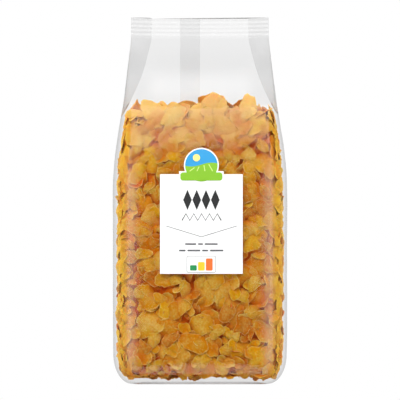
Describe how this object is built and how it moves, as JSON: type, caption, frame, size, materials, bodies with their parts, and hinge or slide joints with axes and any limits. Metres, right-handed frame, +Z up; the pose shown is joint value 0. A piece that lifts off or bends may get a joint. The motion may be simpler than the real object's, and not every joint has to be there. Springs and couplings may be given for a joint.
{
  "type": "bag of corn flakes",
  "caption": "Clear side-gusseted bag of corn flakes, standing upright, with a ribbed top seal and a white printed label on the front.",
  "frame": {"origin": "middle of the flat base, on the surface that the bag stands on", "axes": "+Z up the bag towards the top seal; -Y out of the front panel with the label; +X to the right as seen from the front"},
  "size_m": [0.1668, 0.0772, 0.3478],
  "materials": {
    "film": "clear thin polypropylene film, glossy, softly creased",
    "flakes": "toasted corn, golden with browner blistered edges, dry and matte",
    "label": "white print on the film, satin",
    "label_print": "flat printed inks, near black, grey, green and blue"
  },
  "bodies": {
    "root": {"bag": "film", "label": "label"}
  },
  "joints": []
}
